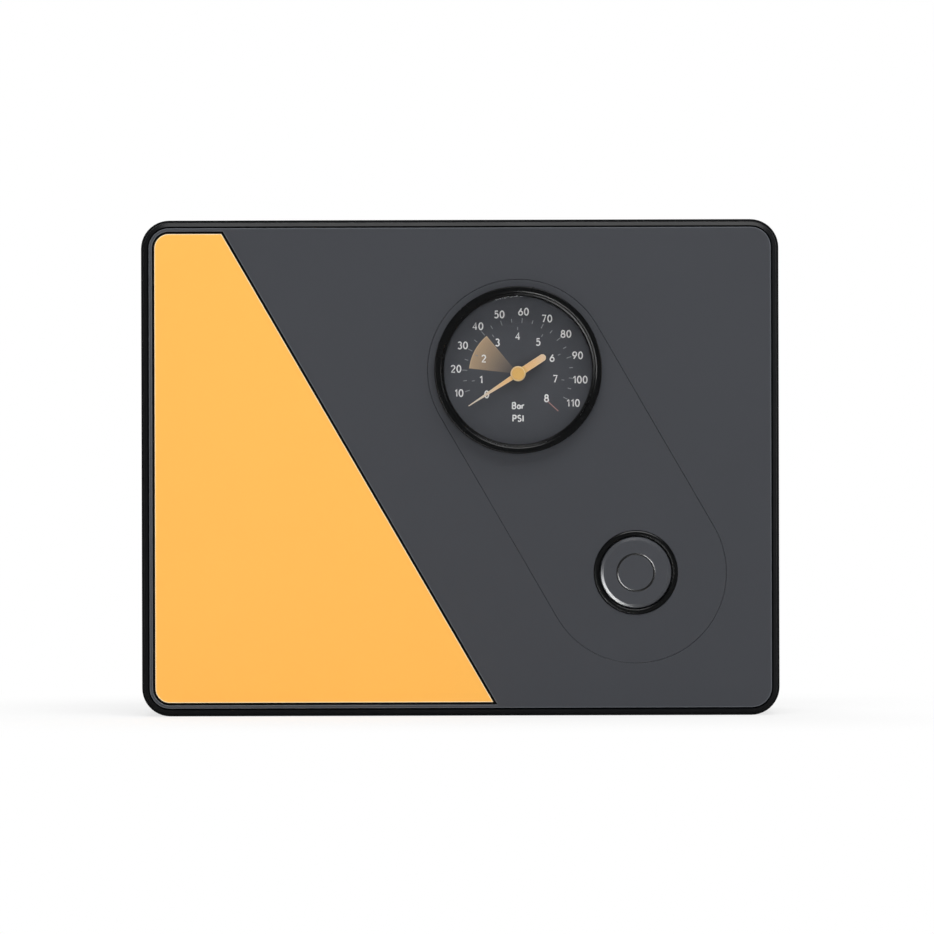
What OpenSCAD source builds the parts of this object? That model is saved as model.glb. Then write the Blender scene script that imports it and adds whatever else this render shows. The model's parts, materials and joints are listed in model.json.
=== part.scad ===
// Portable tire inflator, 12 V, in a flat case.
// The origin is the middle of the bottom edge. +X is right, +Z is up and the front faces -Y.

/* [Case] */
// Width of the case over the bumper band
body_w = 180; // [176:1:220]
// Height of the case over the bumper band
body_h = 140; // [136:1:180]
// Depth from the face of the gauge bezel to the back of the case
body_d = 55; // [54:0.5:75]
// Radius of the outer corners
corner_r = 8; // [6:0.5:14]
// Thickness of the bumper band
band_t = 2.2; // [1.8:0.1:3]
// Wall of the two case shells
wall = 2.2; // [1.8:0.1:2.8]
// Depth of the front shell, from its face to the parting line
front_d = 19; // [15:0.5:22]
// Depth of the bumper band
band_d = 41; // [30:0.5:44]
// Thickness of the plates let into the front
plate_t = 1.8; // [1.2:0.1:2.4]
// Thickness of the shell floor behind those plates
floor_t = 2; // [1.6:0.1:2.4]
// Grey margin left round the accent panel
panel_margin = 1.6; // [1.2:0.05:3]
// Shadow gap round the accent panel
accent_seam = 0.7; // [0.3:0.05:0.9]
// Seam round the control plate
seam = 0.1; // [0.1:0.05:0.4]
// Radius of the case screw bosses
boss_r = 4.4; // [4:0.1:5]
// Radius of the case screw shanks
screw_r = 1.5; // [1.2:0.1:1.8]

/* [Front layout] */
// Sideways place of the gauge
gauge_x = 16.4; // [14:0.2:18]
// Height of the gauge centre
gauge_z = 97.5; // [94:0.5:104]
// Lean of the split line and of the control plate, from vertical
slant = 30; // [20:1:35]
// Distance from gauge centre to button centre
control_gap = 66; // [62:0.5:70]
// Distance from the split line to the line of the controls
split_offset = 53.1; // [45:0.5:60]
// Radius of the round ends of the control plate
control_r = 25.5; // [24.5:0.1:27]

/* [Gauge] */
// Outer radius of the gauge bezel
bezel_r = 23.6; // [23.3:0.1:24.3]
// Radius of the open face of the gauge
dial_open_r = 21.2; // [20.6:0.1:21.3]
// How far the bezel stands out of the face
bezel_proud = 2.5; // [2:0.1:3.5]
// Thickness of the clear lens
lens_t = 1; // [0.8:0.1:1.2]
// Distance of the pointer hub below the gauge centre
hub_drop = 1; // [0:0.1:1.5]
// Length of the pointer from hub to tip
pointer_l = 16.7; // [14:0.1:17.5]
// Length of the pointer tail
tail_l = 9.2; // [6:0.1:11]
// Rest direction of the pointer, anticlockwise from +X
pointer_rest = 213; // [205:1:220]
// Depth of the gauge case behind the front wall
gauge_depth = 17.2; // [17:0.2:19]

/* [Button] */
// Radius of the button cap
button_r = 10; // [9:0.1:10.4]
// Outer radius of the button bezel
button_bezel_r = 11.8; // [11.4:0.1:12.6]
// Travel of the button
button_travel = 1.5; // [1:0.1:1.8]
// How far the cap stands out of the face
button_proud = 0.9; // [0.5:0.1:1.6]

/* [Motor] */
// Radius of the motor can
motor_r = 15; // [14:0.25:15.5]
// Room between the cooling fan and the side wall
fan_room = 8.8; // [8.4:0.1:12]
// Radius of the motor shaft
motor_shaft_r = 1.2; // [1:0.1:1.6]
// Space under the motor
motor_gap = 4.5; // [4.5:0.25:6]
// Radius of the cooling fan
fan_r = 12; // [9:0.5:12.5]

/* [Gear train] */
// Tooth size of the drive gears
gear_m = 1; // [0.95:0.01:1.02]
// Teeth on the motor pinion
pinion_teeth = 10; // [10:1:11]
// Teeth on the crank gear
crank_teeth = 40; // [38:1:40]
// Face width of the gears
gear_t = 5; // [4:0.25:5]

/* [Compressor] */
// Piston stroke
stroke = 12; // [9:0.5:12.5]
// Radius of the cylinder bore
bore_r = 9.5; // [8.5:0.1:10]
// Length of the cylinder
cylinder_l = 26; // [24:0.5:30]
// Radius of the cooling fins
fin_r = 14; // [13:0.1:14]
// Radius of the crank shaft
crank_r = 2.5; // [2:0.1:3]
// Radius of the crank pin
pin_r = 2; // [1.5:0.1:2.2]

/* [Fittings] */
// Sideways place of the air outlet
outlet_x = 30; // [24:1:36]
// Sideways place of the cord gland
gland_x = 60; // [52:1:68]
// Height of both fittings
fitting_z = 22; // [18:1:24]
// Radius of the outlet nipple
nipple_r = 3.6; // [3:0.1:4]
// Radius of the cord hole in the gland
cord_r = 3.1; // [2.5:0.1:3.5]

/* [Hidden] */
$fn = 64;

// Clearances
run = 0.05;          // a shaft in its bore
fit = 0.1;           // a part that drops into its seat
free = 0.3;          // parts that pass each other

// Depth stations, front to back
y_front = -body_d / 2;
y_back = body_d / 2;
y_face = y_front + bezel_proud;
y_floor = y_face + plate_t;
y_inner = y_floor + floor_t;
y_part = y_face + front_d;
y_rear = y_back - wall;
band_setback = 0.8;
y_band = y_face + band_setback;
mech_y = (y_inner + y_rear) / 2;

// Insets from the outline of the case
shell_in = band_t + fit;
cavity_in = shell_in + wall;
boss_in = cavity_in + boss_r - 0.5;
lip_t = 1;
lip_h = 1.6;

// Controls
button_x = gauge_x + control_gap * sin(slant);
button_z = gauge_z - control_gap * cos(slant);

// Gauge stations
lens_r = dial_open_r + 0.7;
sleeve_in = lens_r + fit;
sleeve_out = bezel_r - 0.7;
gauge_hole_r = sleeve_out + fit;
case_r = sleeve_in - fit - run;
case_in = case_r - 1.6;
dial_r = case_r - 0.9;
y_lens = y_front + 1.3;
y_seal = y_lens + lens_t;
y_rim = y_seal + 0.6;
dial_t = 0.8;
y_dial = y_inner - 0.4;
y_gauge_back = y_inner + gauge_depth;
hub_z = gauge_z - hub_drop;
y_needle = y_dial - 1.8;
needle_t = 0.5;
hub_r = 2.15;

// Gauge movement
gauge_sweep = 252.6;
movement_m = 0.25;
arbor_teeth = 10;
sector_teeth = 80;
sector_pitch = 360 / sector_teeth;
sector_lean = 3.5 * sector_pitch;
pivot_z = hub_z - movement_m * (arbor_teeth + sector_teeth) / 2;
arbor_r = 0.5;
tail_arm = 4.5;
tail_x = gauge_x + tail_arm * cos(-90 - sector_lean);
tail_z = pivot_z + tail_arm * sin(-90 - sector_lean);
link_travel = 2 * tail_arm * sin(gauge_sweep * arbor_teeth / sector_teeth / 2);
y_sector = y_inner + 6.6;
sector_t = 1;
y_link = y_sector + sector_t + 0.5;
y_plate_a = y_inner + 3.6;
y_plate_b = y_inner + 10.6;
movement_t = 1;
pillar_x = 8.5;
pillar_z = pivot_z + 5.75;
tube_r = case_in - 3.2;
tube_start = -110;
tube_end = -55;
pin_x = gauge_x + 4.9;
socket_z = tail_z + 1;

// Button and switch stations
y_cap = y_face - button_proud;
y_bezel_back = y_inner + 1.5;
y_flange = y_bezel_back + fit;
cap_t = 2;
y_stem = y_inner + 3.9;
y_switch = y_inner + 5.6;
switch_w = 13;
switch_l = 12;
ear_x = button_bezel_r + 5.7;
y_ear = y_switch + 2;
ear_t = 2;

// Compressor stations
cyl_x = gauge_x - case_r - 1 - fin_r;
motor_z = cavity_in + motor_gap + motor_r;
crank_z = motor_z + gear_m * (pinion_teeth + crank_teeth) / 2;
throw = stroke / 2;
ecc = throw / 2;
rod_t = 6;
bush_t = 7;
bush_r = ecc + pin_r + 1.5;
big_end_r = bush_r + 2.5;
web_t = 2;
web_r = ecc + pin_r + 1;
x_web = cyl_x - bush_t / 2 - free - web_t;
x_gear = x_web - gear_t;
x_plate = x_gear - 1;
case_t = 3;
x_motor = x_plate - case_t;
end_cap_t = 2.8;
fan_gap = 1.2;
fan_t = 3.4;
x_fan = -body_w / 2 + cavity_in + fan_room;
x_cap = x_fan + fan_t + fan_gap;
x_can = x_cap + end_cap_t;
crank_boss_r = crank_r + 4.4;
bearing_l = 5;
x_boss = x_motor - 11;
gear_tip_r = gear_m * (crank_teeth / 2 + 0.6);
z_flange = crank_z + gear_tip_r + 1.4;
flange_t = 3.5;
z_cyl = z_flange + flange_t;
z_cyl_top = z_cyl + cylinder_l;
head_w = 27;
gasket_t = 0.5;
z_valve = z_cyl_top + gasket_t;
valve_t = 1.6;
z_head = z_valve + valve_t;
head_h = 9.4;
z_head_top = z_head + head_h;
big_end_z = crank_z - throw;
piston_z = z_cyl_top - 0.6 - stroke;
piston_h = 6;
bolt_in = 2.9;
bolt_r = 1.25;
lug_r = 3.8;
pad_t = 3;
y_pad = y_rear - pad_t;
lug_top_z = crank_z + 13;
lug_top_x = x_motor - 1.5;
lug_low_x = x_plate + lug_r - fit;
lug_low_z = motor_z - 11;

// Fittings
y_nipple = y_back + 1.5;
nipple_l = 5.5;
gland_l = 9;
hose_r = 2.8;
wire_r = 0.8;
y_outlet_in = y_rear - 8.3;
z_loop = body_h - cavity_in - hose_r - 1;
barb_z = z_head + 5;
x_head_barb = cyl_x + head_w / 2 + 4.9;
z_head_barb = z_head_top + 3;
y_stem_end = y_gauge_back + 7;
board_z = 84;
board_w = 30;
board_h = 36;
board_x = body_w / 2 - cavity_in - 6.5 - board_w / 2;
y_board = mech_y + 10;
board_t = 1.6;
tab_r = fan_r + 1.1;

// ---------- shared shapes ----------

module extrude_y(y0, y1)
    translate([0, y1, 0]) rotate([90, 0, 0]) linear_extrude(y1 - y0) children();

module extrude_x(x0, x1)
    translate([x0, 0, 0]) rotate([90, 0, 90]) linear_extrude(x1 - x0) children();

module turn_y(x, z) translate([x, 0, z]) rotate([-90, 0, 0]) rotate_extrude() children();

module rod_y(x, z, r, y0, y1)
    translate([x, y0, z]) rotate([-90, 0, 0]) cylinder(r = r, h = y1 - y0);

module rod_x(y, z, r, x0, x1)
    translate([x0, y, z]) rotate([0, 90, 0]) cylinder(r = r, h = x1 - x0);

module rod_z(x, y, r, z0, z1) translate([x, y, z0]) cylinder(r = r, h = z1 - z0);

module box(x0, x1, y0, y1, z0, z1)
    translate([x0, y0, z0]) cube([x1 - x0, y1 - y0, z1 - z0]);

// A rounded rectangle in the plane of the front, set in from the outline of the case
module case_outline(inset) {
    r = max(corner_r - inset, 0.5);
    w = body_w - 2 * inset;
    h = body_h - 2 * inset;
    translate([0, body_h / 2]) {
        square([w - 2 * r, h], center = true);
        square([w, h - 2 * r], center = true);
        for (x = [-1, 1], z = [-1, 1])
            translate([x * (w / 2 - r), z * (h / 2 - r)]) circle(r);
    }
}

// Sweeps a profile round the case. In it, x is the distance out from the corner centres
// and y is the depth in the case.
module case_sweep() {
    for (k = [0:3]) {
        side = (k % 2 == 0 ? body_w : body_h) / 2 - corner_r;
        other = (k % 2 == 0 ? body_h : body_w) / 2 - corner_r;
        translate([0, 0, body_h / 2]) rotate([0, 90 * k, 0]) translate([side, 0, other]) {
            rotate([0, -90, 0]) linear_extrude(2 * side) children();
            rotate([0, -90, 0]) rotate([-90, 0, 0]) rotate_extrude(angle = 90) children();
        }
    }
}

// Places 2D shapes in the frame of the controls: the gauge at the origin, the button below it
module control_frame() translate([gauge_x, gauge_z]) rotate(slant) children();

module accent_outline(grow) {
    far = body_w + body_h;
    intersection() {
        case_outline(shell_in + panel_margin - grow);
        control_frame() translate([grow - split_offset - far, -far]) square([far, 2 * far]);
    }
}

module control_outline(r) {
    control_frame() {
        circle(r);
        translate([0, -control_gap]) circle(r);
        translate([-r, -control_gap]) square([2 * r, control_gap]);
    }
}

// One point at a radius and an angle
function polar(r, a) = [r * cos(a), r * sin(a)];

// Involute gear outline: half the angle that a tooth takes up at radius rho, then all points
pressure = 20;
function involute(a) = tan(a) * 180 / PI - a;
function tooth_half(teeth, m, rho, play) =
    let (r = m * teeth / 2, base = r * cos(pressure))
    90 / teeth - play / 2 / r * 180 / PI + involute(pressure)
        - involute(rho > base ? acos(base / rho) : 0);
flank_steps = 4;
function tooth_points(teeth, m, tip, root, play, at) =
    let (r0 = m * (teeth / 2 - root), r1 = m * (teeth / 2 + tip))
    let (rhos = [for (i = [0:flank_steps]) r0 + (r1 - r0) * i / flank_steps])
    concat(
        [for (i = [0:flank_steps]) polar(rhos[i], at - tooth_half(teeth, m, rhos[i], play))],
        [for (i = [flank_steps:-1:0]) polar(rhos[i], at + tooth_half(teeth, m, rhos[i], play))]
    );
function gear_points(teeth, m, tip, root, play, first, last) =
    [for (k = [first:last]) each tooth_points(teeth, m, tip, root, play, 360 * k / teeth)];

// A bend made of cubic Bezier runs, whose control points share their end points
function bezier(p, t) =
    pow(1 - t, 3) * p[0] + 3 * pow(1 - t, 2) * t * p[1] + 3 * (1 - t) * t * t * p[2] + pow(t, 3) * p[3];
function route(points, steps) = concat(
    [for (k = [0:3:len(points) - 4], i = [0:steps - 1])
        bezier([for (j = [0:3]) points[k + j]], i / steps)],
    [points[len(points) - 1]]
);

// A round tube swept along a route, whose rings are carried along it without a twist
module swept(points, r, sides = 8) {
    n = len(points);
    tangents = [for (i = [0:n - 1])
        let (d = points[min(i + 1, n - 1)] - points[max(i - 1, 0)]) d / norm(d)];
    first = cross(tangents[0], abs(tangents[0][2]) < 0.9 ? [0, 0, 1] : [1, 0, 0]);
    sideways = [for (i = 0, a = first; i < n; i = i + 1,
        a = i < n ? a - (a * tangents[i]) * tangents[i] : a) a / norm(a)];
    rings = [for (i = [0:n - 1])
        let (a = sideways[i], b = cross(tangents[i], a))
        [for (k = [0:sides - 1])
            points[i] + r * cos(360 * k / sides) * a + r * sin(360 * k / sides) * b]];
    polyhedron(
        points = [for (ring = rings) each ring],
        faces = concat(
            [[for (k = [0:sides - 1]) k]],
            [for (i = [0:n - 2], k = [0:sides - 1])
                let (q = (k + 1) % sides)
                [i * sides + k, (i + 1) * sides + k, (i + 1) * sides + q, i * sides + q]],
            [[for (k = [sides - 1:-1:0]) (n - 1) * sides + k]]
        )
    );
}

module boss_places()
    for (x = [-1, 1], z = [boss_in, body_h - boss_in])
        translate([x * (body_w / 2 - boss_in), 0, z]) children();

// ---------- case ----------

module front_shell() color("#42474b") difference() {
    union() {
        extrude_y(y_face, y_inner) case_outline(shell_in);
        extrude_y(y_inner, y_part) difference() {
            case_outline(shell_in);
            case_outline(cavity_in);
        }
        // Locating lip inside the parting line
        extrude_y(y_part, y_part + lip_h) difference() {
            case_outline(cavity_in - lip_t);
            case_outline(cavity_in);
        }
        boss_places() rod_y(0, 0, boss_r, y_inner, y_part);
        for (s = [-1, 1]) rod_y(button_x + s * ear_x, button_z, 3.2, y_inner, y_ear);
    }
    extrude_y(y_face - 1, y_floor) accent_outline(accent_seam);
    extrude_y(y_face - 1, y_floor) control_outline(control_r + seam);
    rod_y(gauge_x, gauge_z, gauge_hole_r, y_face, y_inner + 1);
    rod_y(button_x, button_z, button_bezel_r + fit, y_face, y_inner + 1);
    boss_places() rod_y(0, 0, screw_r + run, y_inner + 2, y_part + 1);
    for (s = [-1, 1]) rod_y(button_x + s * ear_x, button_z, 1.4 + run, y_inner + 2, y_ear + 1);
}

// Seat of the case screw heads in the rear bosses
y_screw = y_part + 12;

module vent_row(x, z, l, count) {
    pitch = 5;
    for (k = [0:count - 1]) translate([x, z + (k - (count - 1) / 2) * pitch]) {
        square([l, 2.2], center = true);
        for (s = [-1, 1]) translate([s * l / 2, 0]) circle(1.1);
    }
}

module rear_shell() color("#232629") difference() {
    inner = corner_r - cavity_in;
    under = corner_r - shell_in;
    out = corner_r - 0.8;
    y_step = y_band + band_d + fit;
    round_r = 3;
    union() {
        // The wall runs under the band and steps out behind it, with a rounded back edge
        case_sweep() polygon(concat(
            [[inner, y_part], [under, y_part], [under, y_step], [out, y_step]],
            [for (i = [0:6]) [out - round_r, y_back - round_r] + polar(round_r, i * 15)],
            [[inner, y_back]]
        ));
        extrude_y(y_rear, y_back) case_outline(cavity_in - 0.5);
        boss_places() rod_y(0, 0, boss_r, y_part, y_back);
        // Posts that carry the circuit board
        for (x = [-1, 1], z = [-1, 1])
            rod_y(board_x + x * (board_w / 2 - 4), board_z + z * (board_h / 2 - 4), 2.8,
                y_board + board_t, y_rear + 1);
    }
    extrude_y(y_part - 1, y_part + lip_h + fit) difference() {
        case_outline(cavity_in - lip_t - fit);
        case_outline(cavity_in + fit);
    }
    boss_places() {
        rod_y(0, 0, screw_r + 0.2, y_part - 1, y_screw + 1);
        rod_y(0, 0, screw_r + 1.5, y_screw, y_back + 1);
    }
    extrude_y(y_rear - 1, y_back + 1) {
        vent_row((x_can + x_motor) / 2, motor_z + 8, 26, 7);
        vent_row(cyl_x, z_cyl + cylinder_l / 2 + 6, 22, 6);
    }
    rod_y(outlet_x, fitting_z, 4.5 + run, y_rear - 1, y_back + 1);
    rod_y(gland_x, fitting_z, 5 + run, y_rear - 1, y_back + 1);
}

module bumper_frame() color("#141414") {
    inner = corner_r - band_t;
    bevel = 0.4;
    ledge = 0.6;
    y_end = y_band + band_d;
    groove = 0.7;
    case_sweep() polygon(concat(
        // A bevel leaves a groove round the case, and the face slopes back to a narrow outer ledge
        [[inner, y_end], [inner, y_band + 1.5 * bevel], [inner + bevel, y_band]],
        [[corner_r - ledge - 0.2, y_band + (band_t - ledge - bevel - 0.2) * tan(30)]],
        [[corner_r - ledge, y_band + band_t * 0.75], [corner_r - 0.1, y_band + band_t * 0.75]],
        [[corner_r, y_band + band_t * 0.75 + 0.1]],
        // Two grip grooves near each edge
        [for (at = [9.5, 14, band_d - 14, band_d - 9.5]) each [
            [corner_r, y_band + at - 1], [corner_r - groove, y_band + at - 0.6],
            [corner_r - groove, y_band + at + 0.6], [corner_r, y_band + at + 1]
        ]],
        [[corner_r, y_end - 0.8], [corner_r - 0.8, y_end]]
    ));
}

module accent_panel() color("#febe5c") extrude_y(y_face, y_floor) accent_outline(0);

module control_plate() color("#42474b") extrude_y(y_face, y_floor) difference() {
    control_outline(control_r);
    control_frame() circle(gauge_hole_r);
    control_frame() translate([0, -control_gap]) circle(button_bezel_r + fit);
}

module case_screws() color("#8b8f94") boss_places() {
    rod_y(0, 0, screw_r, y_part - 10, y_screw);
    difference() {
        rod_y(0, 0, screw_r + 1.2, y_screw, y_screw + 1.8);
        for (a = [0, 90]) rotate([0, a, 0])
            box(-1.6, 1.6, y_screw + 0.8, y_screw + 2, -0.35, 0.35);
    }
}

// ---------- gauge ----------

module gauge_bezel() color("#0e0f10") turn_y(gauge_x, gauge_z) polygon(concat(
    [[sleeve_in, y_inner], [sleeve_in, y_lens], [dial_open_r, y_lens]],
    [[dial_open_r, y_lens - 0.15], [dial_open_r + 0.4, y_lens - 0.3]],
    [for (i = [0:5]) [dial_open_r + 1.2, y_front + 0.8] + polar(0.8, 180 + i * 18)],
    [for (i = [0:3]) [bezel_r - 0.4, y_front + 0.4] + polar(0.4, -90 + i * 30)],
    [[bezel_r, y_face], [sleeve_out, y_face], [sleeve_out, y_inner]]
));

// The lens stands up inside the bezel with a chamfered edge
module gauge_lens() color("#dfe8ee", 0.3) turn_y(gauge_x, gauge_z) polygon([
    [0, y_lens - 0.12], [dial_open_r - 0.6, y_lens - 0.12], [dial_open_r - 0.3, y_lens],
    [lens_r, y_lens], [lens_r, y_seal], [0, y_seal]
]);

module gauge_seal() color("#1b1b1b") turn_y(gauge_x, gauge_z)
    translate([dial_r, y_seal]) square([case_r - dial_r, y_rim - y_seal]);

module gauge_case() color("#1d1f21") difference() {
    turn_y(gauge_x, gauge_z) polygon([
        [dial_r + fit, y_rim], [case_r, y_rim], [case_r, y_inner],
        [case_r + 4.2, y_inner], [case_r + 4.2, y_inner + 2], [case_r, y_inner + 2],
        [case_r, y_gauge_back], [0, y_gauge_back], [0, y_gauge_back - 2],
        [case_in, y_gauge_back - 2], [case_in, y_dial + dial_t], [dial_r + fit, y_dial + dial_t]
    ]);
    rod_y(gauge_x, socket_z, 3, y_gauge_back - 3, y_gauge_back + 1);
}

module dial_plate() color("#3f4448") difference() {
    rod_y(gauge_x, gauge_z, dial_r, y_dial, y_dial + dial_t);
    rod_y(gauge_x, hub_z, arbor_r + free, y_dial - 1, y_dial + 2);
}

module at_hub(y0, y1) extrude_y(y0, y1) translate([gauge_x, hub_z]) children();

module gauge_pointer() color("#e9c98a") {
    at_hub(y_needle, y_needle + needle_t) rotate(pointer_rest) {
        polygon([[0, -0.72], [pointer_l, -0.12], [pointer_l, 0.12], [0, 0.72]]);
        translate([1 - tail_l, -1]) square([tail_l - 1, 2]);
        translate([1 - tail_l, 0]) circle(1);
        circle(hub_r);
    }
    at_hub(y_needle - 0.6, y_needle) circle(hub_r - 0.25);
}

module pointer_arbor() color("#c9a85a") {
    at_hub(y_needle + needle_t, y_plate_b + 0.7) circle(arbor_r);
    at_hub(y_sector - 0.5, y_sector + sector_t + 0.5) rotate(-90)
        polygon(gear_points(arbor_teeth, movement_m, 1, 0.85, 0.04, 0, arbor_teeth - 1));
    at_hub(y_link + 0.3, y_link + 1.2) circle(1.2);
}

module sector_gear() color("#c8a24b") {
    extrude_y(y_sector, y_sector + sector_t) translate([gauge_x, pivot_z]) difference() {
        union() {
            rotate(90 - sector_lean)
                polygon(concat([[0, 0]],
                    gear_points(sector_teeth, movement_m, 0.6, 1.25, 0.04, -5, 5)));
            circle(2);
            rotate(-90 - sector_lean) translate([0, -0.8]) square([tail_arm, 1.6]);
            translate(polar(tail_arm, -90 - sector_lean)) circle(1);
        }
        // Window that lightens the blade
        rotate(90 - sector_lean) intersection() {
            difference() {
                circle(7.8);
                circle(4);
            }
            polygon([[0, 0], polar(12, -14), polar(12, 14)]);
        }
    }
    extrude_y(y_plate_a + 0.2, y_plate_b + 0.7) translate([gauge_x, pivot_z]) circle(arbor_r);
    extrude_y(y_sector + sector_t, y_link + 1) translate([tail_x, tail_z]) circle(0.45);
}

module movement_plate() difference() {
    union() {
        translate([gauge_x, hub_z]) circle(4);
        translate([gauge_x, pivot_z]) circle(3);
        translate([gauge_x - 3, pivot_z]) square([6, hub_z - pivot_z]);
        translate([gauge_x - pillar_x - 1.2, pillar_z - 1.6]) square([2 * pillar_x + 2.4, 3.2]);
    }
    translate([gauge_x, hub_z]) circle(arbor_r + run);
    translate([gauge_x, pivot_z]) circle(arbor_r + run);
}

module movement_frame() color("#d0ab55") {
    extrude_y(y_plate_a, y_plate_a + movement_t) movement_plate();
    extrude_y(y_plate_b, y_plate_b + movement_t) movement_plate();
    for (s = [-1, 1])
        rod_y(gauge_x + s * pillar_x, pillar_z, 1, y_plate_a + movement_t, y_plate_b);
}

module hairspring() color("#9aa0a6") at_hub(y_link + 0.6, y_link + 1) {
    turns = 3;
    strip = 0.2;
    polygon(concat(
        [for (i = [0:12:360 * turns]) polar(1.7 + 2.9 * i / (360 * turns), i)],
        [for (i = [360 * turns:-12:0]) polar(1.7 + strip + 2.9 * i / (360 * turns), i)]
    ));
}

module bourdon_tube() color("#c98f4a") {
    y_tube = y_inner + 5.2;
    tube_w = 6;
    translate([gauge_x, 0, gauge_z]) rotate([-90, 0, 0]) rotate([0, 0, -tube_start])
        rotate_extrude(angle = 360 + tube_start - tube_end)
            translate([tube_r, y_tube + tube_w / 2])
                polygon([for (a = [0:22.5:337.5]) [0.8 * cos(a), tube_w / 2 * sin(a)]]);
    // Tip block with the pin that the link pulls on
    tip_x = gauge_x + tube_r * cos(tube_end);
    tip_z = gauge_z + tube_r * sin(tube_end);
    box(pin_x - 1.3, tip_x + 0.3, y_tube + 0.5, y_link - free, tail_z - 0.7, tip_z + 0.2);
    rod_y(pin_x, tail_z, 0.5, y_link - free, y_link + 1);
}

module gauge_link() color("#d7b669") extrude_y(y_link, y_link + 0.6) difference() {
    slot = 0.75;
    union() {
        translate([tail_x, tail_z]) circle(1.1);
        translate([tail_x, tail_z - 0.5]) square([pin_x - link_travel - tail_x, 1]);
        translate([pin_x - link_travel - 1.3, tail_z - 1.2]) square([link_travel + 2.6, 2.4]);
    }
    translate([tail_x, tail_z]) circle(0.45 + run);
    translate([pin_x - link_travel - slot, tail_z - slot]) square([link_travel + 2 * slot, 2 * slot]);
}

module gauge_socket() color("#b98f45") {
    difference() {
        union() {
            box(gauge_x - 5, gauge_x + 5, y_plate_b + movement_t, y_gauge_back - 2,
                socket_z - 3.3, socket_z + 5.5);
            rod_y(gauge_x, socket_z, 2.95, y_gauge_back - 2.1, y_gauge_back);
            rod_y(gauge_x, socket_z, 5, y_gauge_back, y_gauge_back + 1.5);
            rod_y(gauge_x, socket_z, 1.9, y_gauge_back + 1.4, y_stem_end);
        }
        rod_y(gauge_x, socket_z, 0.9, y_gauge_back - 4, y_stem_end + 1);
    }
    // Root that the curved tube is soldered to
    root = 6;
    translate([gauge_x, 0, gauge_z]) rotate([-90, 0, 0]) rotate([0, 0, -tube_start - root])
        rotate_extrude(angle = root) translate([tube_r - 1.4, y_inner + 5])
            square([2.8, y_gauge_back - 2 - y_inner - 5]);
}

// ---------- button and switch ----------

module button_bezel() color("#0e0f10") turn_y(button_x, button_z) polygon([
    [button_r + free, y_bezel_back],
    // A rounded crest
    for (i = [0:6]) [(button_bezel_r + button_r + free) / 2, y_face]
        + [(button_bezel_r - button_r - free) / 2 * cos(180 + 30 * i), 0.5 * sin(180 + 30 * i)],
    [button_bezel_r, y_inner], [button_bezel_r + 1.8, y_inner], [button_bezel_r + 1.8, y_bezel_back]
]);

module power_button() color("#3f4448") turn_y(button_x, button_z) polygon([
    // An engraved ring and a chamfered edge
    [0, y_cap], [4.95, y_cap], [5.15, y_cap + 0.08], [5.25, y_cap + 0.08], [5.45, y_cap],
    [button_r - 0.9, y_cap], [button_r - 0.15, y_cap + 0.3], [button_r, y_cap + 0.55],
    [button_r, y_flange], [button_bezel_r - 0.6, y_flange],
    [button_bezel_r - 0.6, y_flange + 1.2], [button_r - 1.2, y_flange + 1.2],
    [button_r - 1.2, y_cap + cap_t], [1.9, y_cap + cap_t], [1.9, y_stem], [0, y_stem]
]);

module button_spring() color("#b9bdc2") {
    turns = 5;
    coil_r = 3.4;
    wire = 0.35;
    y0 = y_cap + cap_t + wire;
    y1 = y_switch - wire;
    steps = 14 * turns;
    swept([for (i = [0:steps])
        [button_x + coil_r * cos(360 * turns * i / steps),
            y0 + (y1 - y0) * i / steps,
            button_z + coil_r * sin(360 * turns * i / steps)]],
        wire, 6);
}

module switch_body() color("#26282a") difference() {
    half = switch_w / 2;
    union() {
        box(button_x - half, button_x + half, y_switch, y_switch + switch_l,
            button_z - half, button_z + half);
        box(button_x - ear_x - 3.5, button_x + ear_x + 3.5, y_ear, y_ear + ear_t,
            button_z - 3.5, button_z + 3.5);
    }
    rod_y(button_x, button_z, 1.9 + run, y_switch - 1, y_switch + 5);
    for (s = [-1, 1])
        rod_y(button_x + s * ear_x, button_z, 1.4 + run, y_ear - 1, y_ear + ear_t + 1);
}

module switch_plunger() color("#c9ccd0") rod_y(button_x, button_z, 1.9, y_stem, y_switch + 2.5);

module switch_terminals() color("#c8a24b") for (x = [-4, 0, 4])
    box(button_x + x - 0.4, button_x + x + 0.4, y_switch + switch_l, y_switch + switch_l + 6,
        button_z - 2.4, button_z + 2.4);

module switch_screws() color("#8b8f94") for (s = [-1, 1]) {
    rod_y(button_x + s * ear_x, button_z, 1.4, y_inner + 3, y_ear + ear_t);
    rod_y(button_x + s * ear_x, button_z, 2.6, y_ear + ear_t, y_ear + ear_t + 1.6);
}

// ---------- motor ----------

module on_motor(x0, x1) extrude_x(x0, x1) translate([mech_y, motor_z]) children();

module motor_can() color("#a9adb1") {
    on_motor(x_can, x_motor - 1.2) difference() {
        circle(motor_r);
        circle(motor_r - 1.1);
    }
    on_motor(x_motor - 1.2, x_motor) difference() {
        circle(motor_r);
        circle(4 + run);
    }
}

module motor_end_cap() color("#1e1f21") on_motor(x_cap, x_can) difference() {
    circle(motor_r);
    circle(4 + run);
    for (s = [-1, 1]) translate([s * tab_r, 0]) square([0.9, 5.2], center = true);
}

module motor_magnets() color("#4a4a4d") on_motor(x_can + 3.5, x_motor - 4) {
    for (s = [0, 180]) rotate(s) intersection() {
        difference() {
            circle(motor_r - 1.1);
            circle(motor_r - 3.3);
        }
        polygon([[0, 0], polar(3 * motor_r, -60), polar(3 * motor_r, 0), polar(3 * motor_r, 60)]);
    }
}

module motor_bushes() color("#c08a45") {
    on_motor(x_motor - 2, x_plate - 1) difference() {
        circle(4);
        circle(motor_shaft_r + run);
    }
    on_motor(x_cap - 0.4, x_can) difference() {
        circle(4);
        circle(motor_shaft_r + run);
    }
}

module motor_shaft() color("#c3c7cb")
    rod_x(mech_y, motor_z, motor_shaft_r, x_fan - 0.6, x_gear + gear_t - 0.5);

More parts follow.
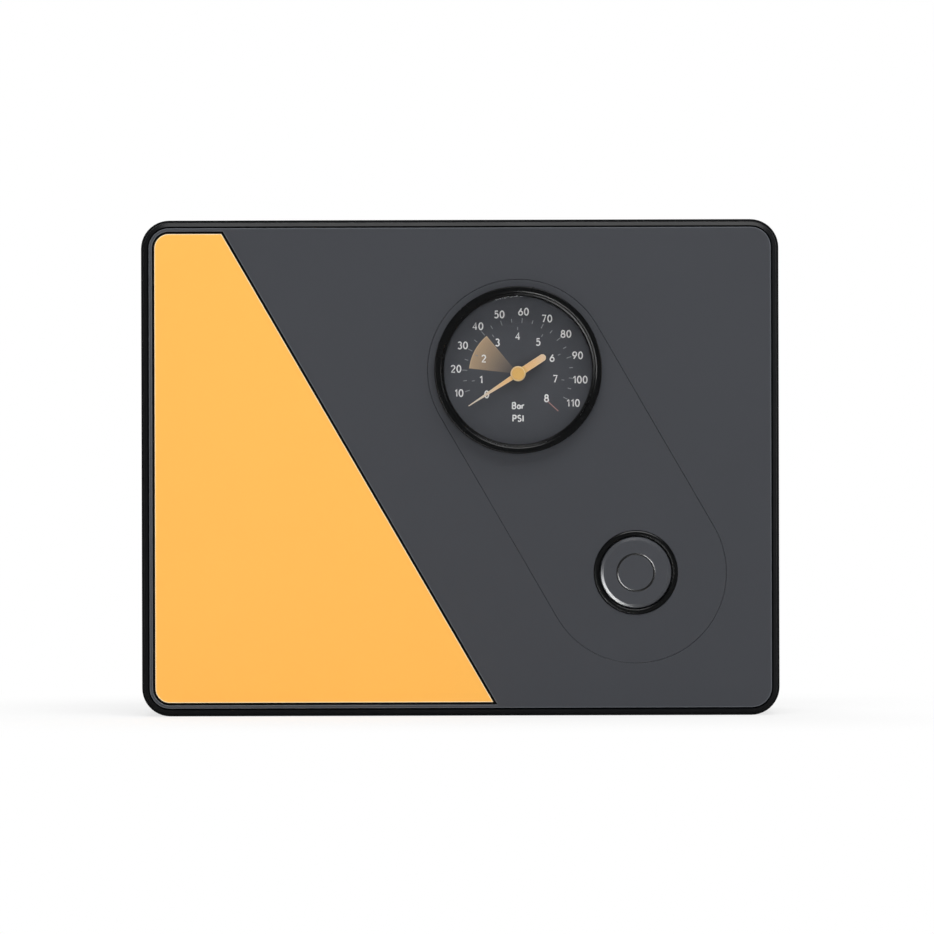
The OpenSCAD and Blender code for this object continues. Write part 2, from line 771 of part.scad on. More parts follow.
module armature() color("#8d5a3a") {
    core_r = motor_r - 3.9;
    // Laminated core with five slots, and the end turns of the windings
    on_motor(x_can + 7, x_motor - 7) difference() {
        circle(core_r);
        circle(motor_shaft_r);
        for (k = [0:4]) rotate(72 * k) translate([core_r - 4, -0.8]) square([5, 1.6]);
    }
    for (x = [x_can + 4.5, x_motor - 7]) on_motor(x, x + 2.5) difference() {
        circle(core_r - 2);
        circle(motor_shaft_r);
    }
}

module commutator() color("#c77b45") on_motor(x_can + 0.6, x_can + 4.2) difference() {
    circle(4.4);
    circle(motor_shaft_r);
}

module motor_brushes() color("#3a3a3c") for (s = [-1, 1]) {
    box(x_can + 1, x_can + 3.6, mech_y + min(s * 4.7, s * 9), mech_y + max(s * 4.7, s * 9),
        motor_z - 1.6, motor_z + 1.6);
    // Supply tab through the end cap
    box(x_cap - 3, x_can + 2.4, mech_y + s * tab_r - 0.4, mech_y + s * tab_r + 0.4,
        motor_z - 2.5, motor_z + 2.5);
}

module motor_fan() color("#d7d9db") {
    on_motor(x_fan, x_fan + fan_t) difference() {
        circle(3);
        circle(motor_shaft_r);
    }
    for (k = [0:5]) translate([x_fan + fan_t / 2, mech_y, motor_z]) rotate([60 * k, 0, 0])
        translate([0, 0, 2.6]) rotate([0, 0, 35]) translate([-1.4, -0.4, 0])
            cube([2.8, 0.8, fan_r - 2.8]);
}

module motor_pinion() color("#d8d3c4") on_motor(x_gear, x_gear + gear_t - 0.5) difference() {
    rotate(90 + 180 / pinion_teeth)
        polygon(gear_points(pinion_teeth, gear_m, 1, 0.85, 0.12, 0, pinion_teeth - 1));
    circle(motor_shaft_r);
}

screw_at = 9.2;
module motor_screws() color("#8b8f94") for (s = [-1, 1]) {
    rod_x(mech_y + s * screw_at, motor_z, 1.2, x_motor, x_plate);
    rod_x(mech_y + s * screw_at, motor_z, 2.2, x_plate, x_plate + 0.9);
}

// ---------- compressor ----------

module crankcase() color("#9a9ea2") {
    half = head_w / 2;
    difference() {
        union() {
            extrude_x(x_motor, x_plate) {
                translate([mech_y, motor_z]) circle(motor_r + 1);
                translate([mech_y - half, motor_z]) square([head_w, z_cyl - motor_z]);
            }
            box(x_plate, cyl_x + half, mech_y - half, mech_y + half, z_flange, z_cyl);
            rod_x(mech_y, crank_z, crank_boss_r, x_boss, x_motor);
            // Mounting lugs that reach back to the rear shell
            rod_y(lug_top_x, lug_top_z, lug_r, mech_y + 4, y_pad);
            rod_y(lug_low_x, lug_low_z, lug_r, mech_y, y_pad);
        }
        rod_x(mech_y, motor_z, 4 + run, x_motor - 1, x_plate + 1);
        rod_x(mech_y, crank_z, crank_r + 2 + run, x_boss - 1, x_plate + 1);
        for (s = [-1, 1]) rod_x(mech_y + s * screw_at, motor_z, 1.2 + run, x_motor - 1, x_plate + 1);
        rod_z(cyl_x, mech_y, bore_r + fit, z_flange - 1, z_cyl + 1);
    }
}

module crank_bearings() color("#b98245") for (x = [x_boss, x_plate - bearing_l])
    extrude_x(x, x + bearing_l) translate([mech_y, crank_z]) difference() {
        circle(crank_r + 2);
        circle(crank_r + run);
    }

module crank_shaft() color("#c3c7cb") {
    rod_x(mech_y, crank_z, crank_r, x_boss - 1, x_web);
    // Retaining ring at the free end
    rod_x(mech_y, crank_z, crank_r + 1.4, x_boss - 1.6, x_boss - free);
}

module crank_gear() color("#e6e2d6") {
    extrude_x(x_gear, x_web) translate([mech_y, crank_z]) difference() {
        rotate(90)
            polygon(gear_points(crank_teeth, gear_m, 0.6, 1.25, 0.12, 0, crank_teeth - 1));
        circle(crank_r);
        for (k = [0:5]) rotate(60 * k) translate([gear_m * crank_teeth * 0.3, 0]) circle(3);
    }
    extrude_x(x_plate + free, x_gear) translate([mech_y, crank_z]) difference() {
        circle(crank_r + 2.5);
        circle(crank_r);
    }
}

module crank_web() color("#b5b9bd") {
    rod_x(mech_y, crank_z, web_r, x_web, x_web + web_t);
    rod_x(mech_y, crank_z - ecc, pin_r, x_web + web_t, cyl_x + bush_t / 2 + free);
    rod_x(mech_y, crank_z - ecc, pin_r + 1, cyl_x + bush_t / 2 + free, cyl_x + bush_t / 2 + 1.4);
}

module eccentric_bush() color("#b98245")
    extrude_x(cyl_x - bush_t / 2, cyl_x + bush_t / 2) difference() {
        translate([mech_y, big_end_z]) circle(bush_r);
        translate([mech_y, crank_z - ecc]) circle(pin_r + run);
    }

module piston_rod() color("#c9cdd1") {
    difference() {
        union() {
            extrude_x(cyl_x - rod_t / 2, cyl_x + rod_t / 2) translate([mech_y, big_end_z])
                circle(big_end_r);
            box(cyl_x - 2, cyl_x + 2, mech_y - 3, mech_y + 3,
                big_end_z + bush_r + 1, piston_z - piston_h + 1);
            rod_z(cyl_x, mech_y, bore_r - 0.4, piston_z - piston_h, piston_z - 3);
        }
        rod_x(mech_y, big_end_z, bush_r + run, cyl_x - rod_t, cyl_x + rod_t);
        rod_z(cyl_x, mech_y, 1.5, piston_z - piston_h + 1, piston_z);
    }
}

module piston_cup() color("#2a2a2c") translate([cyl_x, mech_y, 0]) rotate_extrude() polygon([
    [1.5, piston_z - 3], [bore_r - 0.09, piston_z - 3], [bore_r - 0.09, piston_z],
    [bore_r - 0.9, piston_z], [bore_r - 1.2, piston_z - 2], [1.5, piston_z - 2]
]);

module cup_retainer() color("#9fa3a7") {
    rod_z(cyl_x, mech_y, bore_r - 2.4, piston_z - 2, piston_z - 1.2);
    rod_z(cyl_x, mech_y, 3, piston_z - 1.2, piston_z - 0.1);
    rod_z(cyl_x, mech_y, 1.5, piston_z - piston_h + 1, piston_z - 2);
}

module bolt_places() for (x = [-1, 1], y = [-1, 1])
    translate([cyl_x + x * (head_w / 2 - bolt_in), mech_y + y * (head_w / 2 - bolt_in), 0]) children();

module head_plate(z0, z1, hole)
    difference() {
        box(cyl_x - head_w / 2, cyl_x + head_w / 2, mech_y - head_w / 2, mech_y + head_w / 2, z0, z1);
        rod_z(cyl_x, mech_y, hole, z0 - 1, z1 + 1);
        bolt_places() rod_z(0, 0, bolt_r + fit, z0 - 1, z1 + 1);
    }

module cylinder_barrel() color("#aeb2b6") {
    fin_t = 1.3;
    difference() {
        union() {
            rod_z(cyl_x, mech_y, bore_r + 2, z_cyl, z_cyl_top - 4);
            rod_z(cyl_x, mech_y, head_w / 2 - fit, z_cyl, z_cyl + 2.5);
            for (z = [z_cyl + 5.2 : 3.6 : z_cyl_top - 7]) rod_z(cyl_x, mech_y, fin_r, z, z + fin_t);
        }
        rod_z(cyl_x, mech_y, bore_r, z_cyl - 1, z_cyl_top);
    }
    head_plate(z_cyl_top - 4, z_cyl_top, bore_r);
}

module head_gasket() color("#2b2b2d") head_plate(z_cyl_top, z_valve, bore_r + 0.2);

module valve_plate() color("#c3c7cb") difference() {
    head_plate(z_valve, z_head, 1.6);
    for (k = [0:3]) rotate_about(90 * k + 45) rod_z(5, 0, 0.8, z_valve - 1, z_head + 1);
}

module rotate_about(a) translate([cyl_x, mech_y, 0]) rotate([0, 0, a]) children();

module outlet_reed() color("#8f959b") {
    rotate_about(0) box(-2.4, 6.6, -2.4, 2.4, z_head, z_head + 0.3);
}

module cylinder_head() color("#9a9ea2") {
    half = head_w / 2;
    difference() {
        union() {
            box(cyl_x - half, cyl_x + half, mech_y - half, mech_y + half, z_head, z_head_top - 2);
            rod_z(cyl_x, mech_y, half - 3.4, z_head_top - 2.1, z_head_top);
            rod_x(mech_y, barb_z, 1.7, cyl_x + half - 2, x_head_barb);
            rod_z(cyl_x, mech_y, 1.7, z_head_top - 1, z_head_barb);
        }
        rod_z(cyl_x, mech_y, 8.4, z_head - 1, z_head_top - 3);
        rod_x(mech_y, barb_z, 0.8, cyl_x, x_head_barb + 1);
        rod_z(cyl_x, mech_y, 0.8, z_head_top - 4, z_head_barb + 1);
        bolt_places() rod_z(0, 0, bolt_r + fit, z_head - 1, z_head_top);
    }
}

module head_bolts() color("#7f8489") bolt_places() {
    rod_z(0, 0, bolt_r, z_cyl_top - 4, z_head_top - 2);
    difference() {
        rod_z(0, 0, bolt_r + 1, z_head_top - 2, z_head_top - 0.4);
        translate([0, 0, z_head_top - 1.2]) cylinder(r = 1.2, h = 2, $fn = 6);
    }
}

// ---------- air lines and mounting ----------

// The straight end of each hose, pushed up to its barb
straight = 3;

module hose(from, from_dir, to, to_dir, bends)
    swept(concat(
        [from],
        route(concat([from + straight * from_dir], bends, [to + straight * to_dir]), 12),
        [to]
    ), hose_r, 10);

module gauge_hose() color("#3a3d40") hose(
    [x_head_barb, mech_y, barb_z], [1, 0, 0], [gauge_x, y_stem_end, socket_z], [0, 1, 0],
    [[x_head_barb + 12, mech_y, barb_z], [gauge_x, y_stem_end + 12, socket_z]]
);

module outlet_hose() color("#3a3d40") hose(
    [cyl_x, mech_y, z_head_barb], [0, 0, 1], [outlet_x, y_outlet_in, fitting_z], [0, -1, 0],
    [[cyl_x, mech_y, z_loop], [cyl_x + 20, mech_y + 10, z_loop],
     [gauge_x - 2, y_rear - 9, gauge_z + 12], [outlet_x, y_rear - 11, gauge_z - 20],
     [outlet_x, y_outlet_in - 14, fitting_z]]
);

module clip(y0, y1) extrude_y(y0, y1) difference() {
    circle(hose_r + 0.9);
    circle(hose_r + run);
}

module hose_clips() color("#b9bdc2") {
    translate([gauge_x, 0, socket_z]) clip(y_stem_end + 0.3, y_stem_end + 2.6);
    translate([outlet_x, 0, fitting_z]) clip(y_outlet_in - 2.6, y_outlet_in - 0.3);
    translate([0, mech_y, barb_z]) extrude_x(x_head_barb + 0.3, x_head_barb + 2.6) difference() {
        circle(hose_r + 0.9);
        circle(hose_r + run);
    }
    translate([cyl_x, mech_y, z_head_barb + 0.3]) linear_extrude(2.3) difference() {
        circle(hose_r + 0.9);
        circle(hose_r + run);
    }
}

module rubber_mounts() color("#1b1b1b") {
    rod_y(lug_top_x, lug_top_z, lug_r + 0.5, y_pad, y_rear);
    rod_y(lug_low_x, lug_low_z, lug_r + 0.5, y_pad, y_rear);
}

module air_outlet() color("#c9a14e") difference() {
    union() {
        // Nut and barb inside the case
        translate([outlet_x, y_rear - 3, fitting_z]) rotate([-90, 0, 0])
            cylinder(r = 7, h = 3, $fn = 6);
        rod_y(outlet_x, fitting_z, 1.9, y_outlet_in, y_rear - 2);
        rod_y(outlet_x, fitting_z, 4.5, y_rear - 0.1, y_back);
        // Collar, nipple and barb outside
        rod_y(outlet_x, fitting_z, 6, y_back, y_nipple);
        turn_y(outlet_x, fitting_z) polygon([
            [0, y_nipple - 0.1], [nipple_r, y_nipple - 0.1], [nipple_r, y_nipple + nipple_l],
            [nipple_r + 0.2, y_nipple + nipple_l], [nipple_r - 0.5, y_nipple + nipple_l + 3.2],
            [0, y_nipple + nipple_l + 3.2]
        ]);
    }
    rod_y(outlet_x, fitting_z, 1.3, y_outlet_in - 1, y_nipple + nipple_l + 5);
}

module cord_gland() color("#17181a") turn_y(gland_x, fitting_z) polygon([
    [cord_r, y_rear - 2], [7, y_rear - 2], [7, y_rear], [5, y_rear], [5, y_back],
    [6.6, y_back], [6.6, y_back + 1.6], [5.8, y_back + 2], [5.8, y_back + 3.2],
    [5.4, y_back + 3.6], [5.4, y_back + 4.8], [5, y_back + 5.2], [5, y_back + 6.4],
    [4.6, y_back + 6.8], [4.4, y_back + gland_l], [cord_r, y_back + gland_l]
]);

module circuit_board() color("#2f6b46") {
    box(board_x - board_w / 2, board_x + board_w / 2, y_board, y_board + board_t,
        board_z - board_h / 2, board_z + board_h / 2);
    // Relay, two capacitors and the terminal block
    box(board_x - 11, board_x + 2, y_board - 10, y_board, board_z + 2, board_z + 14);
    for (z = [-4, 6]) rod_y(board_x + 9, board_z + z, 3.6, y_board - 12, y_board);
    box(board_x - 12, board_x + 4, y_board - 8, y_board, board_z - 16, board_z - 9);
}

board_end = [board_x - 9, y_board - 4, board_z - 16.8];
module wiring() color("#b3261e") for (s = [-1, 1]) {
    step = [s * 1.2, 0, 0];
    // Supply leads from the gland to the terminal block
    swept(route([
        [gland_x, y_rear - 2.6, fitting_z] + step,
        [gland_x, y_rear - 12, fitting_z] + step,
        board_end + [7, 0, -22] + step, board_end + [7, 0, 0] + step
    ], 12), wire_r);
    // Switch leads
    swept(route([
        [button_x + s * 4 + 1.3, y_switch + switch_l + 6, button_z],
        [button_x + s * 4 + 1.3, y_switch + switch_l + 12, button_z + 4],
        board_end + [3, 0, -14] + step, board_end + [3, 0, 0] + step
    ], 10), wire_r);
    // Motor leads along the bottom of the case
    low = cavity_in + 1.3;
    swept(route([
        board_end - [1, 0, 0] + step, board_end + [-4, 3, -26] + step,
        [44, y_rear - 5, low] + step, [20, y_rear - 5 + s * 1.2, low],
        [-10, y_rear - 5 + s * 1.2, low], [-40, y_rear - 5 + s * 1.2, low],
        [x_can + 8, y_rear - 5 + s * 1.2, low], [x_cap - 2, y_rear - 5 + s * 1.2, low],
        [x_cap - 2, mech_y + s * (tab_r + 1.6), low], [x_cap - 2, mech_y + s * (tab_r + 1.6), motor_z - 3.4]
    ], 10), wire_r);
}

front_shell();
rear_shell();
bumper_frame();
accent_panel();
control_plate();
case_screws();
gauge_bezel();
gauge_lens();
gauge_seal();
gauge_case();
dial_plate();
gauge_pointer();
pointer_arbor();
sector_gear();
movement_frame();
hairspring();
bourdon_tube();
gauge_link();
gauge_socket();
button_bezel();
power_button();
button_spring();
switch_body();
switch_plunger();
switch_terminals();
switch_screws();
motor_can();
motor_end_cap();
motor_magnets();
motor_bushes();
motor_shaft();
armature();
commutator();
motor_brushes();
motor_fan();
motor_pinion();
motor_screws();
crankcase();
crank_bearings();
crank_shaft();
crank_gear();
crank_web();
eccentric_bush();
piston_rod();
piston_cup();
cup_retainer();
cylinder_barrel();
head_gasket();
valve_plate();
outlet_reed();
cylinder_head();
head_bolts();
gauge_hose();
outlet_hose();
hose_clips();
rubber_mounts();
air_outlet();
cord_gland();
circuit_board();
wiring();
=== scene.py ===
import json
from math import cos, pi, radians, sin

import bpy
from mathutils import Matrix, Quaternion, Vector


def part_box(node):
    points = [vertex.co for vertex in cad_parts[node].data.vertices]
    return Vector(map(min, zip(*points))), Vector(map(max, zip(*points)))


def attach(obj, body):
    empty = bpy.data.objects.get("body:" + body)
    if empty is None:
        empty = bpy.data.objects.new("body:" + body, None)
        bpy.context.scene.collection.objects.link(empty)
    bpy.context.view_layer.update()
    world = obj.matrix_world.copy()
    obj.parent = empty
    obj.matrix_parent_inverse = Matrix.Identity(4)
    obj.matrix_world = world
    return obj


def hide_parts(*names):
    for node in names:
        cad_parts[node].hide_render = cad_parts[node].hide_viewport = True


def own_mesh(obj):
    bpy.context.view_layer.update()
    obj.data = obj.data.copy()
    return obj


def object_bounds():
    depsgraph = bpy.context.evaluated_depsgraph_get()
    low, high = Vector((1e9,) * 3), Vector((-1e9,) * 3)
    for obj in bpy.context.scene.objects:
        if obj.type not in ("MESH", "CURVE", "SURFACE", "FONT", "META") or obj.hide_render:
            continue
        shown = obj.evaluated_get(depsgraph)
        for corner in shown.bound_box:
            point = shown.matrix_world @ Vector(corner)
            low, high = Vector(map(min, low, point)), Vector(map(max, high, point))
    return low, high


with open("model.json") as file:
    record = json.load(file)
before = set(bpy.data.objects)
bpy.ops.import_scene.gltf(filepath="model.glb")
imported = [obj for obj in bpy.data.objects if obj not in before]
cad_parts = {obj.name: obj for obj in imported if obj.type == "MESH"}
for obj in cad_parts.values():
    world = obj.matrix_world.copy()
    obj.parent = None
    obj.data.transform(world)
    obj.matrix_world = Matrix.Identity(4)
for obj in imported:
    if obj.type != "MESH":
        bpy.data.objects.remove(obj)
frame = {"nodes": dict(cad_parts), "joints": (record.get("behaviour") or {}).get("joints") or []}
packed_low, packed_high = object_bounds()
bpy.ops.object.select_all(action="DESELECT")


# ---------------------------------------------------------------- case shells
# Two shells moulded in ABS with a spark-eroded skin, screwed together from the back. The front one is
# slate grey and carries the sunk plates; the rear one is near black, with vents over the motor and the
# cylinder.
class Wire:
    """An output of a finish's nodes. Sums written with wires add Math nodes."""

    def __init__(self, finish, socket):
        self.finish = finish
        self.socket = socket

    def maths(self, operation, *terms):
        return self.finish.node("Math", {"operation": operation}, dict(enumerate(terms)))

    def __add__(self, other):
        return self.maths("ADD", self, other)

    def __radd__(self, other):
        return self.maths("ADD", other, self)

    def __sub__(self, other):
        return self.maths("SUBTRACT", self, other)

    def __rsub__(self, other):
        return self.maths("SUBTRACT", other, self)

    def __mul__(self, other):
        return self.maths("MULTIPLY", self, other)

    def __rmul__(self, other):
        return self.maths("MULTIPLY", other, self)

    def __truediv__(self, other):
        return self.maths("DIVIDE", self, other)

    def __pow__(self, other):
        return self.maths("POWER", self, other)

    def __abs__(self):
        return self.maths("ABSOLUTE", self)


class Nodes:
    """A node tree, with short ways to add to it."""

    def __init__(self, tree):
        self.tree = tree

    def node(self, kind, settings=(), inputs=(), output=0):
        """Adds a node, gives it its settings and fills its sockets with values or wires."""
        node = self.tree.nodes.new("ShaderNode" + kind)
        for name, value in dict(settings).items():
            setattr(node, name, value)
        for socket, value in dict(inputs).items():
            self.feed(node.inputs[socket], value)
        if isinstance(output, tuple):
            return [Wire(self, node.outputs[name]) for name in output]
        return Wire(self, node.outputs[output])

    def feed(self, socket, value):
        if isinstance(value, Wire):
            self.tree.links.new(value.socket, socket)
        elif socket.type == "RGBA":
            socket.default_value = (*value, 1)
        else:
            socket.default_value = value

    def slope(self, value, low, high):
        """0 below low, 1 above high, with a smooth step between."""
        return self.node("MapRange", {"interpolation_type": "SMOOTHSTEP"},
                         {"Value": value, "From Min": low, "From Max": high})

    def rays(self):
        """Which rays are the camera's own, mirrored, or let through by something clear."""
        return self.node("LightPath", output=("Is Camera Ray", "Is Glossy Ray", "Is Transmission Ray"))


class Finish(Nodes):
    """A material: its Principled shader, with the nodes that feed it."""

    def __init__(self, name, **constants):
        self.material = bpy.data.materials.new(name)
        self.material.use_nodes = True
        super().__init__(self.material.node_tree)
        self.shader = self.tree.nodes["Principled BSDF"]
        self.place = self.node("TexCoord", output="Object")
        self.x, self.y, self.z = self.node("SeparateXYZ", {}, {0: self.place}, ("X", "Y", "Z"))
        self.set(**constants)

    def set(self, **sockets):
        for name, value in sockets.items():
            self.feed(self.shader.inputs[name.replace("_", " ")], value)

    def noise(self, size, detail=2.0, stretch=(1, 1, 1)):
        """Soft noise from 0 to 1 with features of that size in metres, drawn out by stretch."""
        scale = [1 / size / drawn_out for drawn_out in stretch]
        where = self.node("Mapping", {}, {"Vector": self.place, "Scale": scale})
        return self.node("TexNoise", {}, {"Vector": where, "Scale": 1.0, "Detail": detail})

    def mix(self, factor, low, high):
        return self.node("Mix", {"data_type": "RGBA"}, {0: factor, 6: low, 7: high}, 2)

    def outside(self, *sides):
        """Distance outside a rectangle. Each of its two ways gives a wire and the ends of the side."""
        past, beside = (wire.maths("MAXIMUM", abs(wire - (low + high) / 2) - (high - low) / 2, 0)
                        for wire, low, high in sides)
        return (past ** 2 + beside ** 2) ** 0.5

    def from_axis(self, point):
        """Distance from the axis that runs front to back through a point."""
        return ((self.x - point.x) ** 2 + (self.z - point.z) ** 2) ** 0.5

    def from_line(self, start, end):
        """Distance, seen from the front, to the line between two points."""
        run = end - start
        right = self.x - start.x
        up = self.z - start.z
        along = (right * run.x + up * run.z) / (run.x ** 2 + run.z ** 2)
        along = self.node("Clamp", {}, {0: along})
        return ((right - along * run.x) ** 2 + (up - along * run.z) ** 2) ** 0.5

    def band(self, value, low, high, soft):
        """1 between low and high, with soft edges."""
        return self.slope(value, low - soft, low + soft) * (1 - self.slope(value, high - soft, high + soft))

    def edges(self, radius):
        """1 along sharp edges, falling to 0 at that distance from them."""
        rounded = self.node("Bevel", {"samples": 8}, {"Radius": radius})
        flat = self.node("NewGeometry", output="True Normal")
        turned = self.node("VectorMath", {"operation": "DOT_PRODUCT"}, {0: rounded, 1: flat}, "Value")
        return self.slope(1 - turned, 0.004, 0.12)

    def relief(self, height, depth, edge):
        """A bump of that depth on edges that are rounded by eye to that radius."""
        rounded = self.node("Bevel", {"samples": 4}, {"Radius": edge})
        bump = self.node("Bump", {}, {"Height": height, "Distance": depth, "Normal": rounded})
        self.set(Normal=bump)


def shade(code):
    """A colour written as rrggbb, in linear light."""
    parts = [int(code[i:i + 2], 16) / 255 for i in (0, 2, 4)]
    return [p / 12.92 if p <= 0.04045 else ((p + 0.055) / 1.055) ** 2.4 for p in parts]


def tint(colour, factor):
    return [c * factor for c in colour]


def moulded(name, colour, roughness, grain=0.0005, depth=6e-6, edge=0.0003, specular=0.3, mottle=0.05,
            paint_and_shade_depth=None, edge_highlight=None, spared=None, round_body=None):
    """Plastic from a mould: faint mottling, an eroded grain and patches that handling has made smoother.

    Where it is painted, the paint stops at that depth and the colour behind it is near black, as the bare
    black plastic and as painted shade in the seams and pockets. On a body the paint also goes round its
    sides, which lie beyond the rectangle between its corner centres. Edges get a pale painted highlight,
    but for those that are
    spared: they lie within that reach of the line between two points.
    """
    finish = Finish(name, Specular_IOR_Level=specular)
    cloud = finish.noise(0.03, 3)
    handling = finish.noise(0.009, 4)
    skin = finish.noise(grain, 1)
    colour = finish.mix(cloud * 0.7 + skin * 0.3, tint(colour, 1 - mottle), tint(colour, 1 + mottle))
    # Edges are painted paler: a painted highlight.
    if edge_highlight:
        highlit_edges = finish.edges(0.0007)
        if spared:
            start, end, reach = spared
            highlit_edges = highlit_edges * finish.slope(finish.from_line(start, end), reach, reach + 0.0005)
        colour = finish.mix(highlit_edges, colour, edge_highlight)
    # Beyond the paint depth the colour turns near black: the bare black plastic, and painted shade in the
    # seams and pockets.
    if paint_and_shade_depth:
        bare = finish.slope(finish.y, paint_and_shade_depth, paint_and_shade_depth + 0.0001)
        if round_body:
            low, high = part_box(round_body)
            corner = 0.0057
            rim = finish.outside((finish.x, low.x + corner, high.x - corner),
                                 (finish.z, low.z + corner, high.z - corner))
            bare = bare * (1 - finish.slope(rim, corner - 0.0004, corner - 0.0002))
        colour = finish.mix(bare, colour, shade("141516"))
    finish.set(
        Base_Color=colour,
        Roughness=roughness + (handling - 0.5) * 0.12 + (skin - 0.5) * 0.06,
    )
    finish.relief(skin, depth, edge)
    return finish


def dress(finish, *names):
    """Gives CAD pieces their finish."""
    for name in names:
        for slot in frame["nodes"][name].material_slots:
            slot.material = finish.material


def centre(name):
    """The middle of a CAD piece."""
    low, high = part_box(name)
    return (low + high) / 2


slate = tint(shade("43454a"), 0.9)
# Deeper than this the shell and plates turn near black, which also paints shade into their seams and
# pockets.
skin_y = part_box("front_shell")[0].y + 0.0001
control_plate_reach = 0.0265
round_control_plate = (centre("gauge_bezel"), centre("power_button"), control_plate_reach)
# The shell's edges get a pale painted highlight, except along the control plate's seam.
slate_shell = moulded("slate_abs", slate, 0.5, paint_and_shade_depth=skin_y, edge_highlight=shade("5d6167"),
                      spared=round_control_plate, round_body="front_shell")
dress(slate_shell, "front_shell")
dress(moulded("back_abs", shade("1d2023"), 0.55, grain=0.0007, depth=1.2e-5), "rear_shell")

# ---------------------------------------------------------------- bumper band
# A closed band of black rubbery plastic, pushed over the joint of the two shells. It has grip grooves
# near both edges, and its skin reflects less than the case does.
band_rubber = moulded("band_rubber", shade("121315"), 0.36, grain=0.0006, edge=0.0001, specular=0.22)
dress(band_rubber, "bumper_frame")

# ---------------------------------------------------------------- sunk plates
# The orange accent plate and the slanted control plate drop into pockets in the front shell and leave a
# fine seam. Both are painted ABS, smoother than the shell.
# The orange plate's edges get a pale painted highlight.
orange_paint = moulded("orange_paint", shade("fab856"), 0.46, grain=0.0004, depth=3e-6, edge=0.00015,
                       specular=0.25, mottle=0.012, paint_and_shade_depth=skin_y, edge_highlight=shade("ffe8bd"))
dress(orange_paint, "accent_panel")
slate_paint = moulded("slate_paint", slate, 0.48, grain=0.0004, depth=4e-6, edge=0.0001, paint_and_shade_depth=skin_y)
dress(slate_paint, "control_plate")


# ---------------------------------------------------------------- case screws
# Four cross-head screws in zinc-plated steel hold the shells. They stand at the bottom of deep wells in
# the back.
def metal(name, colour, roughness, stretch=(1, 1, 1), size=0.0006, edge=0.00015, depth=4e-6):
    """Bare or plated metal: tool marks drawn out along one way, stains and uneven shine."""
    finish = Finish(name, Metallic=1.0)
    marks = finish.noise(size, 2, stretch)
    stain = finish.noise(0.006, 3)
    finish.set(
        Base_Color=finish.mix(stain * 0.6 + marks * 0.4, tint(colour, 0.78), tint(colour, 1.08)),
        Roughness=roughness + (stain - 0.5) * 0.2 + (marks - 0.5) * 0.16,
    )
    finish.relief(marks, depth, edge)
    return finish


zinc = metal("zinc_plate", shade("b4b8bc"), 0.36)
dress(zinc, "case_screws")

# ---------------------------------------------------------------- gauge housing
# The bezel is gloss black ABS, moulded as one ring with a rounded crest and a sloping inner wall. It holds
# a clear lens on a black seal, over a black cup behind the front wall.
gloss = moulded("gloss_black", shade("08090a"), 0.26, grain=0.002, depth=2e-6, edge=0.0001, specular=0.28)
dress(gloss, "gauge_bezel")

clear = Finish("clear_lens", Metallic=1.0, Base_Color=(0.92, 0.95, 0.97))
smear = clear.noise(0.008, 4)
from_inside = clear.node("NewGeometry", output="Backfacing")
shine = clear.node("Fresnel", {}, {"IOR": 1.4}) * 0.7 * (1 - from_inside)
clear.set(Roughness=0.03 + smear * 0.05, Alpha=shine + smear * 0.012)
dress(clear, "gauge_lens")

dress(moulded("seal_rubber", shade("161616"), 0.7), "gauge_seal")
dress(moulded("cup_abs", shade("17191b"), 0.55), "gauge_case")

# ---------------------------------------------------------------- dial
# A tin disc, enamelled dark grey and screen printed: a gold field over the pressures of car tyres, fine
# ticks for both scales, white numbers, and a red stop line at the end of the scale.
def joint(name):
    """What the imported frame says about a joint."""
    return next(entry for entry in frame["joints"] if entry["name"] == name)


hub = Vector(joint("pointer_turn")["pos_m"])
dial_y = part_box("dial_plate")[0].y

enamel = Finish("dial_enamel", Specular_IOR_Level=0.3)
reach = enamel.from_axis(hub)
bearing = enamel.node("Math", {"operation": "ARCTAN2"}, {0: enamel.z - hub.z, 1: enamel.x - hub.x})

# The gold field fades towards the hub and has a paler rim. Its edges are soft by so much along a radius
# and round the hub.
field_r, field_low, field_high = 0.0139, radians(129.5), radians(173.5)
rim_width, rim_angle = 0.00028, 0.022
soft_width, soft_angle = 6e-5, 0.006
field = enamel.band(bearing, field_low, field_high, soft_angle)
field = field * (1 - enamel.slope(reach, field_r - soft_width, field_r + soft_width))
fade = enamel.node("Clamp", {}, {0: reach * (1 / 0.0135) - 0.08}) ** 1.5
round_rim = enamel.band(reach, field_r - rim_width, field_r, soft_width)
side_rim = enamel.band(bearing, field_low, field_low + rim_angle, soft_angle)
gold_ink = enamel.mix(enamel.slope(round_rim + side_rim, 0, 1), shade("ae9679"), shade("bda687"))

speckle = enamel.noise(0.0004, 2)
# The ground is a lighter copy of the slate grey: painted light that makes up for the shade inside the
# bezel.
ground = enamel.mix(enamel.noise(0.01, 2) * 0.7 + speckle * 0.3, tint(slate, 1.1), tint(slate, 1.21))
enamel.set(
    Base_Color=enamel.mix(field * (0.1 + 0.9 * fade), ground, gold_ink),
    Roughness=0.5 + (speckle - 0.5) * 0.1,
)
enamel.relief(speckle, 3e-6, 0.0001)
dress(enamel, "dial_plate")


def deselect():
    bpy.ops.object.select_all(action="DESELECT")


def finished(name, finish, body):
    """Names the selected piece, bakes its place into its mesh, gives it a finish and a body."""
    piece = bpy.context.object
    piece.name = name
    piece.data.name = name
    bpy.ops.object.transform_apply(location=True, rotation=True, scale=True)
    piece.data.materials.clear()
    piece.data.materials.append(finish.material)
    deselect()
    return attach(piece, body)


def arc(x, y, wide, high, start, end, steps=12):
    """Points along part of an ellipse, in degrees anticlockwise from the right."""
    turns = [radians(start + (end - start) * step / steps) for step in range(steps + 1)]
    return [(x + wide * cos(turn), y + high * sin(turn)) for turn in turns]


